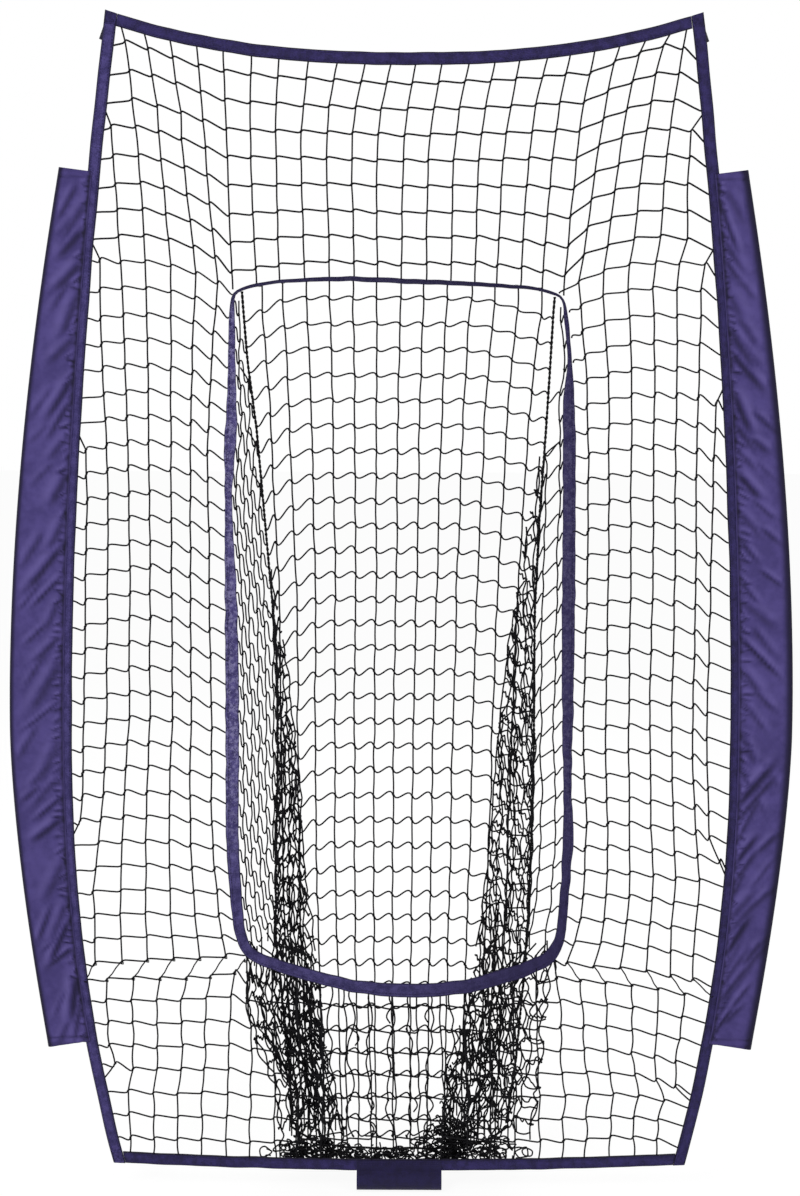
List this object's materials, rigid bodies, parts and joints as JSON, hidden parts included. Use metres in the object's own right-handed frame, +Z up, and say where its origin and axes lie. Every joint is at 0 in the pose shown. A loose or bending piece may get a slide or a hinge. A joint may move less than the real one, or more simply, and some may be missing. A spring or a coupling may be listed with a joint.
{
  "type": "pitching target net",
  "caption": "Tall pitching target net: webbing-edged netting with side pole sleeves, a taped mouth, a hanging catch bag behind it and a foot strap for a base bar.",
  "frame": {"origin": "centre of the base bar that the foot strap wraps, in the middle of the net's width", "axes": "+X to the viewer's right along the base bar, +Y from the front net towards the bag, +Z up"},
  "size_m": [1.4234, 0.1703, 2.1528],
  "materials": {
    "edge_webbing": "dark purple woven webbing, folded and stitched",
    "trim_webbing": "purple webbing tape, matte weave",
    "sleeve_fabric": "purple nylon cloth, soft sheen",
    "netting": "black knotted twine",
    "cord": "black braided cord",
    "hook_and_loop": "black hook-and-loop tape"
  },
  "bodies": {
    "net": {"top_band": "edge_webbing", "left_band": "edge_webbing", "right_band": "edge_webbing", "bottom_band": "edge_webbing", "top_left_patch": "trim_webbing", "top_right_patch": "trim_webbing", "bottom_left_patch": "trim_webbing", "bottom_right_patch": "trim_webbing", "left_pole_cup": "trim_webbing", "right_pole_cup": "trim_webbing", "left_corner_loop": "trim_webbing", "right_corner_loop": "trim_webbing", "front_net": "netting", "join_lacing": "netting", "lower_net": "netting", "mouth_rim": "trim_webbing", "left_sleeve": "sleeve_fabric", "right_sleeve": "sleeve_fabric", "foot_strap": "trim_webbing", "loop_strip": "hook_and_loop"},
    "bag": {"bag_head_cord": "cord", "bag_back_net": "netting", "left_seam_cord": "cord", "right_seam_cord": "cord", "left_gusset_net": "netting", "right_gusset_net": "netting", "bag_apron_net": "netting", "bag_hem_cord": "cord"},
    "flap": {"strap_flap": "trim_webbing", "hook_strip": "hook_and_loop"}
  },
  "joints": [
    {"name": "bag_swing", "type": "hinge", "parent": "net", "child": "bag", "pos_m": [0, 0.0054, 1.662], "axis": [1, 0, 0], "range_deg": [0, 12]},
    {"name": "strap_open", "type": "hinge", "parent": "net", "child": "flap", "pos_m": [0, 0, -0.0169], "axis": [-1, 0, 0], "range_deg": [0, 110]}
  ]
}
